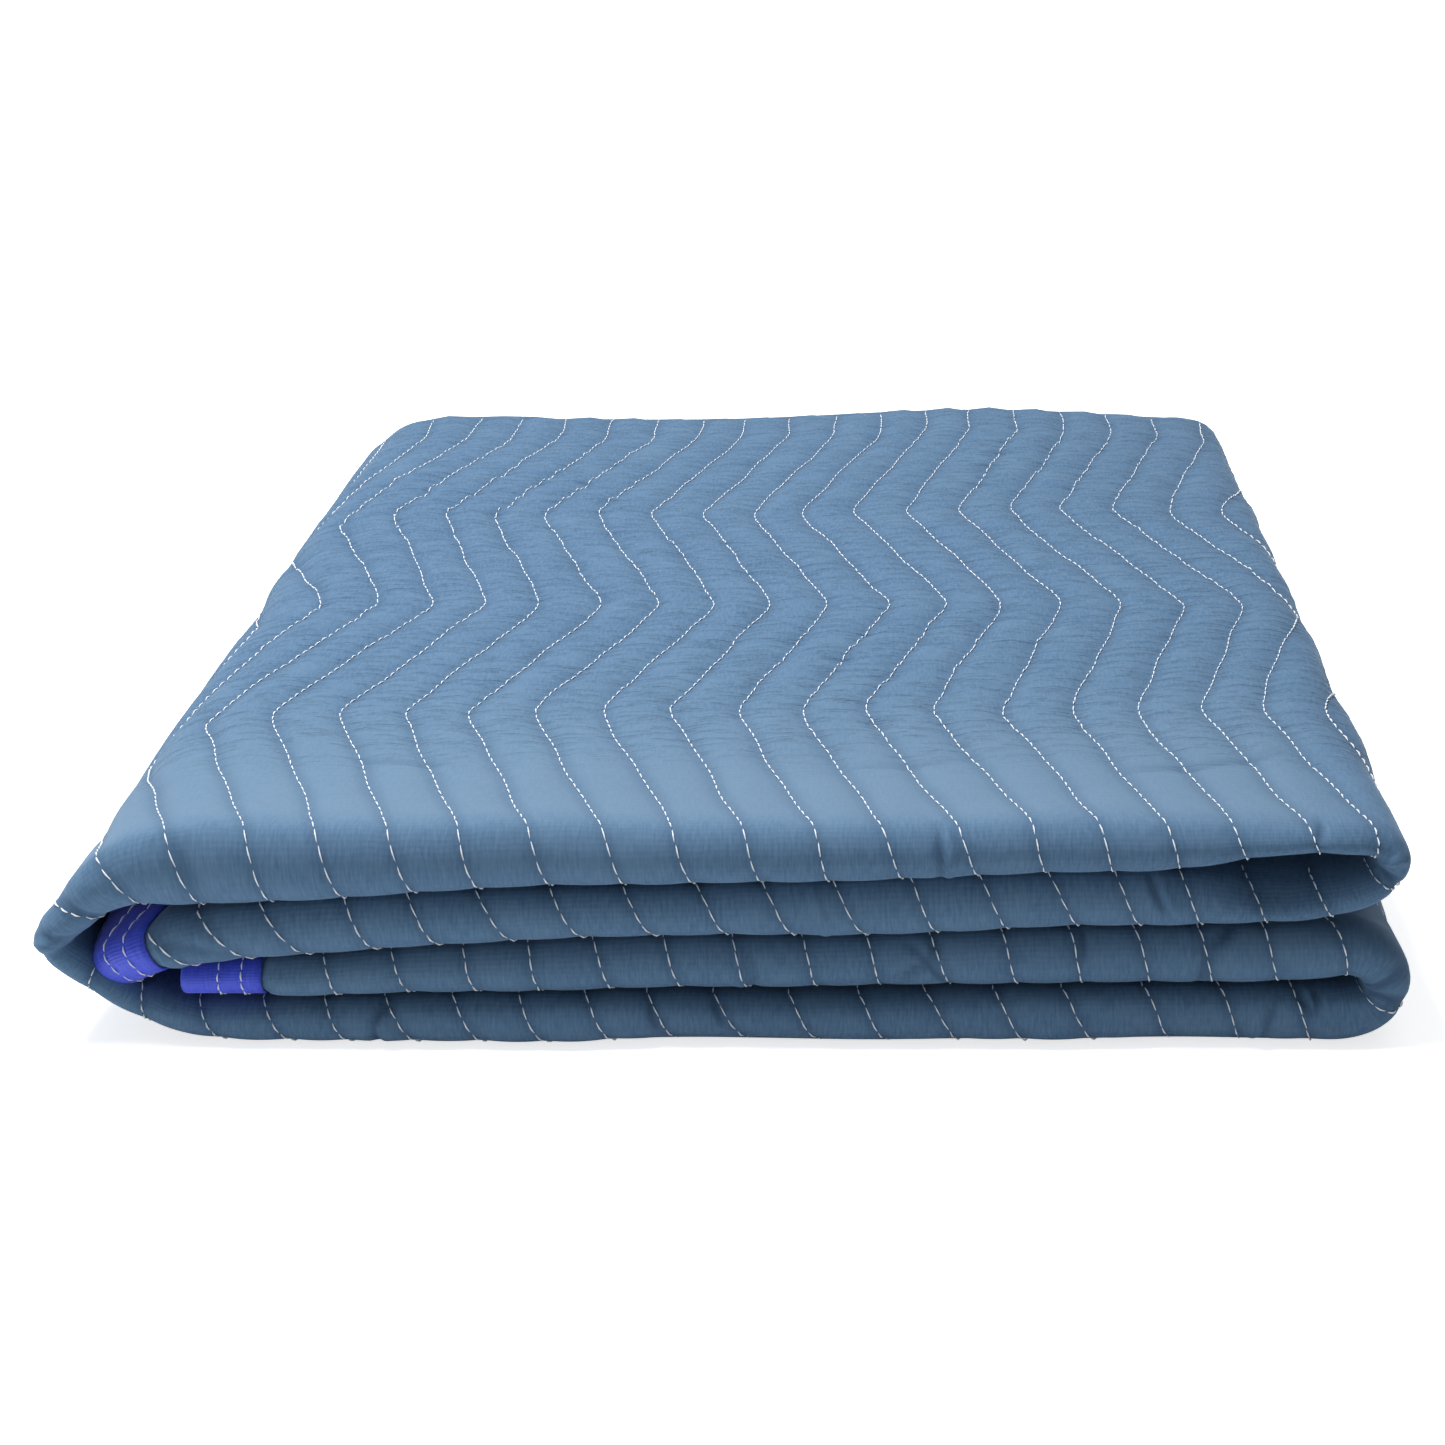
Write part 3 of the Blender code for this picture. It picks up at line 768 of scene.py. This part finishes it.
def map_flat(piece, s, t):
    """UV map that holds each point's place on the flat sheet, in metres."""
    corners = np.zeros(len(piece.data.loops), int)
    piece.data.loops.foreach_get("vertex_index", corners)
    flat_map = piece.data.uv_layers.new(name="flat_cloth")
    flat_map.data.foreach_set("uv", np.stack([s[corners], t[corners]], axis=1).ravel())


# The columns are sheared along the stitch rows, and then the sheet is laid in its folds
flat = flat_points(pad)
s, t, outside = flat[:, 0].copy(), flat[:, 1].copy(), flat[:, 2] > 0
shear = row_ease(s) * zigzag(t) * ROW_SWING / 2
inside = np.clip(edge_room(s) / 0.090, 0.0, 1.0)
row = (s - ROW_START) / ROW_SPACING
s += (row_drift(row, t) + row_wobble(row, t)) * inside * inside * (3 - 2 * inside) - shear
half = half_thickness(s)
in_face = (t > roll_at - 0.012) & (t < crease_at + 0.001)
on_floor = (s > marks["layer 4"][0] - 0.02) & (s < marks["layer 4"][1]) & (t > face_at - 0.004)
puffed = outside & in_face & (edge_room(s) > 0) & ~on_floor
w = np.where(outside, half, -half)
w = w + np.where(puffed, relief(s, t), 0.0)
pad.data.vertices.foreach_set("co", lay(s, t, w).ravel())
map_flat(pad, s, t)

# Masks for the material: painted shade in the sunk rows and creases, wrinkled cloth, and the
# shoulder that is lightened partly for wear and partly as a painted highlight
shade_layer = pad.data.attributes.new("painted_row_crease_shade", "FLOAT", "POINT")
# Painted shade: the cloth is darker along the stitch rows and in the troughs of the creases
painted_shade = np.exp(-(row_distance(s, t) / 0.0030) ** 2) + np.clip(-creases(s, t) / 0.0009, 0.0, 1.3)
shade_layer.data.foreach_set("value", np.where(in_face, painted_shade, 0.0).astype(np.float32))
creasing = pad.data.attributes.new("creasing", "FLOAT", "POINT")
wrinkling = np.clip((t - face_at - 0.035) / 0.040, 0.05, 1)
creasing.data.foreach_set("value", wrinkling.astype(np.float32))
# Lighter band along the front shoulder of the top: partly wear, partly a painted highlight of the
# light falling there
worn_and_lit = pad.data.attributes.new("worn_and_lit_shoulder", "FLOAT", "POINT")
reach = (t - face_at - 0.012) / np.where(t < face_at + 0.012, 0.012, 0.085)
top_share = np.clip((s - marks["layer 1"][0] + 0.02) / 0.03, 0, 1)
worn_and_lit.data.foreach_set("value", (np.exp(-reach ** 2) * top_share).astype(np.float32))
pad.data.shade_smooth()


def new_material(name):
    """Material with a Principled BSDF, and short ways to its nodes."""
    made = bpy.data.materials.new(name)
    made.use_nodes = True
    tree = made.node_tree
    return made, tree.nodes, tree.links, tree.nodes["Principled BSDF"]


# Yarn grain for the sheet and its bindings: ribs across the length, and streaks of the nap
yarn_grain = bpy.data.node_groups.new("yarn_grain", "ShaderNodeTree")
for socket, way, kind in (("Place", "INPUT", "NodeSocketVector"),
                          ("Rib Pitch", "INPUT", "NodeSocketFloat"),
                          ("Streak Size", "INPUT", "NodeSocketVector"),
                          ("Ribs", "OUTPUT", "NodeSocketFloat"),
                          ("Streaks", "OUTPUT", "NodeSocketFloat")):
    yarn_grain.interface.new_socket(socket, in_out=way, socket_type=kind)
given = yarn_grain.nodes.new("NodeGroupInput")
result = yarn_grain.nodes.new("NodeGroupOutput")
pitch = yarn_grain.nodes.new("ShaderNodeMath")
pitch.operation = "DIVIDE"
pitch.inputs[0].default_value = math.pi / 10
yarn_grain.links.new(given.outputs["Rib Pitch"], pitch.inputs[1])
ribs = yarn_grain.nodes.new("ShaderNodeTexWave")
ribs.bands_direction = "Y"
ribs.inputs["Distortion"].default_value = 3.5
ribs.inputs["Detail"].default_value = 2.0
ribs.inputs["Detail Scale"].default_value = 0.6
yarn_grain.links.new(given.outputs["Place"], ribs.inputs["Vector"])
yarn_grain.links.new(pitch.outputs[0], ribs.inputs["Scale"])
yarn_grain.links.new(ribs.outputs["Fac"], result.inputs["Ribs"])
divide = yarn_grain.nodes.new("ShaderNodeVectorMath")
divide.operation = "DIVIDE"
yarn_grain.links.new(given.outputs["Place"], divide.inputs[0])
yarn_grain.links.new(given.outputs["Streak Size"], divide.inputs[1])
streaks = yarn_grain.nodes.new("ShaderNodeTexNoise")
streaks.inputs["Scale"].default_value = 1.0
streaks.inputs["Detail"].default_value = 3.0
streaks.inputs["Roughness"].default_value = 0.6
yarn_grain.links.new(divide.outputs["Vector"], streaks.inputs["Vector"])
yarn_grain.links.new(streaks.outputs["Fac"], result.inputs["Streaks"])


def add_grain(nodes, links, rib_pitch, streak_size):
    """The yarn grain in a material, on the flat map of the piece."""
    flat_map = nodes.new("ShaderNodeUVMap")
    flat_map.uv_map = "flat_cloth"
    placed = nodes.new("ShaderNodeGroup")
    placed.node_tree = yarn_grain
    placed.inputs["Rib Pitch"].default_value = rib_pitch
    placed.inputs["Streak Size"].default_value = streak_size
    links.new(flat_map.outputs["UV"], placed.inputs["Place"])
    return placed


def add_mix(nodes, links, factor, first, second):
    """Colour mix node; factor, first and second are sockets or plain values."""
    mix = nodes.new("ShaderNodeMix")
    mix.data_type = "RGBA"
    for socket, value in ((mix.inputs["Factor"], factor), (mix.inputs["A"], first),
                          (mix.inputs["B"], second)):
        if isinstance(value, bpy.types.NodeSocket):
            links.new(value, socket)
        else:
            socket.default_value = value
    return mix.outputs["Result"]


def add_scaled(nodes, links, value, low, high, out_low, out_high):
    """Map Range node that turns a value into another range."""
    scaled = nodes.new("ShaderNodeMapRange")
    for socket, number in zip(("From Min", "From Max", "To Min", "To Max"),
                              (low, high, out_low, out_high)):
        scaled.inputs[socket].default_value = number
    links.new(value, scaled.inputs["Value"])
    return scaled.outputs["Result"]


cloth, nodes, links, shader = new_material("brushed_blue_cloth")
shader.inputs["Sheen Weight"].default_value = 0.18
shader.inputs["Sheen Roughness"].default_value = 0.40
shader.inputs["Sheen Tint"].default_value = (0.62, 0.80, 1.0, 1.0)
shader.inputs["Specular IOR Level"].default_value = 0.25
shader.inputs["Roughness"].default_value = 0.85
nap = add_grain(nodes, links, 0.0015, (0.0010, 0.0045, 1.0))
patches = add_grain(nodes, links, 0.0015, (0.030, 0.022, 1.0))
weft = add_grain(nodes, links, 0.0009, (0.014, 0.0010, 1.0))
worn_and_lit_mask = nodes.new("ShaderNodeAttribute")
worn_and_lit_mask.attribute_name = "worn_and_lit_shoulder"
shade_mask = nodes.new("ShaderNodeAttribute")
shade_mask.attribute_name = "painted_row_crease_shade"

# Blue of the nap, then what is laid over it: mask, its range, share at the top, and the blue
tone = add_scaled(nodes, links, nap.outputs["Streaks"], 0.3, 0.7, 0, 1)
blue = add_mix(nodes, links, tone, (0.062, 0.130, 0.226, 1.0), (0.098, 0.186, 0.306, 1.0))
for mask, low, high, most, over in (
        (patches.outputs["Streaks"], 0.45, 0.75, 0.45, (0.115, 0.205, 0.315, 1.0)),
        (weft.outputs["Streaks"], 0.5, 0.75, 0.10, (0.055, 0.115, 0.205, 1.0)),
        # lighter shoulder: partly wear, partly a painted highlight
        (worn_and_lit_mask.outputs["Fac"], 0.0, 1.0, 0.60, (0.150, 0.240, 0.340, 1.0)),
        # painted shade along the stitch rows and in the creases
        (shade_mask.outputs["Fac"], 0.0, 1.3, 0.52, (0.035, 0.080, 0.150, 1.0))):
    blue = add_mix(nodes, links, add_scaled(nodes, links, mask, low, high, 0, most), blue, over)
links.new(blue, shader.inputs["Base Color"])
bump = nodes.new("ShaderNodeBump")
bump.inputs["Strength"].default_value = 0.25
bump.inputs["Distance"].default_value = 0.00016
links.new(nap.outputs["Ribs"], bump.inputs["Height"])
creased = nodes.new("ShaderNodeBump")
creased.inputs["Strength"].default_value = 0.8
creased.inputs["Distance"].default_value = 0.0013
wrinkles = add_grain(nodes, links, 0.0040, (0.0170, 0.0034, 1.0))
ridges = add_scaled(nodes, links, wrinkles.outputs["Streaks"], 0.52, 0.75, 0, 1)
where = nodes.new("ShaderNodeAttribute")
where.attribute_name = "creasing"
limited = nodes.new("ShaderNodeMath")
limited.operation = "MULTIPLY"
links.new(ridges, limited.inputs[0])
links.new(where.outputs["Fac"], limited.inputs[1])
links.new(limited.outputs[0], creased.inputs["Height"])
links.new(creased.outputs["Normal"], bump.inputs["Normal"])
links.new(bump.outputs["Normal"], shader.inputs["Normal"])
pad.data.materials.clear()
pad.data.materials.append(cloth)

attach(pad, "root")
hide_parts("quilted_pad")


# The quilting thread. Thick white cotton in long lock stitches, each one a short loop that lies
# on the cloth and dives into it at both ends.
STITCH_PITCH = 0.0044
STITCH_HALF = 0.0020
THREAD_RADIUS = 0.00029
THREAD_SINK = 0.00050
THREAD_LIFT = 1.2
STITCH_JITTER = 0.0003
STITCH_LEAN = 0.00022

# One stitch, a slim ball that sew() stretches along the row
bpy.ops.mesh.primitive_uv_sphere_add(segments=6, ring_count=4, radius=1.0)
stitch = bpy.context.object
loop_points = np.array([vertex.co for vertex in stitch.data.vertices])
loop_faces = [tuple(face.vertices) for face in stitch.data.polygons]
bpy.data.objects.remove(stitch)


def sew(name, rows, surface):
    """Joined mesh of the stitches of several rows; rows holds (line, places along it)."""
    dice = np.random.default_rng(len(rows))
    placed = []
    for line_of_row, places in rows:
        along = loop_points[None, :, 2]
        centres = places + dice.uniform(-STITCH_JITTER, STITCH_JITTER, len(places))
        t = centres[:, None] + along * STITCH_HALF * dice.uniform(0.88, 1.08, (len(places), 1))
        lean = dice.uniform(-STITCH_LEAN, STITCH_LEAN, (len(places), 1))
        s = line_of_row(t) + along * lean
        rise = surface(s, t) + THREAD_RADIUS * THREAD_LIFT - THREAD_SINK * along ** 2
        slim = 1 - 0.35 * along ** 2
        s = s + loop_points[None, :, 0] * THREAD_RADIUS * slim
        w = rise + loop_points[None, :, 1] * THREAD_RADIUS * slim
        placed.append(np.stack([s, t, w], axis=2).reshape(-1, 3))
    flat = np.vstack(placed)
    count = len(flat) // len(loop_points)
    faces = []
    for i in range(count):
        start = i * len(loop_points)
        faces += [tuple(start + corner for corner in face) for face in loop_faces]
    mesh = bpy.data.meshes.new(name)
    mesh.from_pydata(lay(flat[:, 0], flat[:, 1], flat[:, 2]).tolist(), [], faces)
    thread = bpy.data.objects.new(name, mesh)
    bpy.context.scene.collection.objects.link(thread)
    flip = bmesh.new()
    flip.from_mesh(mesh)
    bmesh.ops.recalc_face_normals(flip, faces=flip.faces[:])
    flip.to_mesh(mesh)
    flip.free()
    mesh.shade_smooth()
    return thread


def row_of(number):
    """Line that one stitch row follows."""
    return lambda t: row_line(number, t)


def cloth_face(s, t):
    """Height of the outer cloth off mid-ply, as its mesh bridges the finest dips."""
    across = (relief(s - 0.0012, t) + relief(s + 0.0012, t)) / 2
    along = (relief(s, t - 0.0014) + relief(s, t + 0.0014)) / 2
    return half_thickness(s) + np.maximum(np.maximum(across, along), relief(s, t))


roll_rows, face_rows = [], []
for number in range(int(width / ROW_SPACING) + 1):
    here = np.arange(SHOWN_FROM, third_at + 0.002, STITCH_PITCH)
    s_here = row_line(number, here)
    clear = np.minimum(s_here, width - s_here) > BINDING_WIDTH + 0.0018
    here, s_here = here[clear], s_here[clear]
    shown = np.array([is_shown(a, b) for a, b in zip(s_here, here)], bool)
    shown |= here > crease_at - 0.006
    on_roll = here < SHOWN_TO
    grounded = (s_here > marks["layer 4"][0] - 0.02) & (s_here < marks["layer 4"][1])
    roll_rows.append((row_of(number), here[shown & (on_roll | grounded)]))
    face_rows.append((row_of(number), here[shown & ~on_roll & ~grounded]))

cotton, nodes, links, shader = new_material("white_cotton_thread")
shader.inputs["Base Color"].default_value = (0.84, 0.88, 0.93, 1.0)
shader.inputs["Roughness"].default_value = 0.7

for name, rows in (("stitching_front_rolls", roll_rows), ("stitching_faces", face_rows)):
    thread = sew(name, [row for row in rows if len(row[1])], cloth_face)
    thread.data.materials.append(cotton)
    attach(thread, "root")


# The two bindings. Each is a woven royal blue tape folded in half over one end of the sheet,
# and sewn down through all the cloth with two straight rows of white thread.
BINDING_STITCHES = (0.0126, 0.0205)
BINDING_STITCH_PITCH = 0.0040


def straight_line(place):
    """Line of a stitch row that runs beside the tape's edge, with a slight sway."""
    return lambda t: place + 0.0004 * np.sin(t / 0.011 + 90 * place)


def make_binding(name, end, inward):
    """Binding tape, a U round one end of the sheet, folded with it."""
    side = ply_half(end) - BINDING_THICKNESS / 2
    reach = np.linspace(BINDING_WIDTH, 0.0, 12)
    nose = BINDING_CLEARANCE + BINDING_THICKNESS / 2
    profile = [(place, side) for place in reach]
    for angle in np.linspace(math.pi / 2, -math.pi / 2, 7)[1:-1]:
        profile.append((-nose * math.cos(angle), side * math.sin(angle)))
    profile += [(place, -side) for place in reversed(reach)]
    columns = [(end + inward * place, height) for place, height in profile]
    tape = flat_grid(name, columns, base_rows, BINDING_THICKNESS)
    flat = flat_points(tape)
    tape.data.vertices.foreach_set("co", lay(flat[:, 0], flat[:, 1], flat[:, 2]).ravel())
    map_flat(tape, flat[:, 0], flat[:, 1])
    tape.data.shade_smooth()
    bpy.ops.object.mode_set(mode="EDIT")
    bpy.ops.mesh.select_all(action="SELECT")
    bpy.ops.mesh.normals_make_consistent(inside=False)
    bpy.ops.object.mode_set(mode="OBJECT")
    bpy.ops.object.select_all(action="DESELECT")
    return tape


ribbon, nodes, links, shader = new_material("royal_blue_tape")
shader.inputs["Roughness"].default_value = 0.55
shader.inputs["Sheen Weight"].default_value = 0.15
weave = add_grain(nodes, links, 0.0011, (0.0009, 0.008, 1.0))
shade = add_scaled(nodes, links, weave.outputs["Streaks"], 0.3, 0.7, 0, 1)
blue = add_mix(nodes, links, shade, (0.030, 0.055, 0.54, 1.0), (0.055, 0.095, 0.76, 1.0))
links.new(blue, shader.inputs["Base Color"])
bump = nodes.new("ShaderNodeBump")
bump.inputs["Strength"].default_value = 0.3
bump.inputs["Distance"].default_value = 0.00025
links.new(weave.outputs["Ribs"], bump.inputs["Height"])
links.new(bump.outputs["Normal"], shader.inputs["Normal"])

for name, node, end, inward in (("upper_binding_tape", "binding_upper", 0.0, 1),
                                ("lower_binding_tape", "binding_lower", width, -1)):
    tape = make_binding(name, end, inward)
    tape.data.materials.append(ribbon)
    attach(tape, "root")
    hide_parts(node)

    rows = []
    for offset in BINDING_STITCHES:
        places = np.arange(roll_at - 0.045, face_at + 0.060, BINDING_STITCH_PITCH)
        rows.append((straight_line(end + inward * offset), places))
    seams = sew(name + "_stitching", rows, lambda s, t: ply_half(end) + 0 * s)
    seams.data.materials.append(cotton)
    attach(seams, "root")
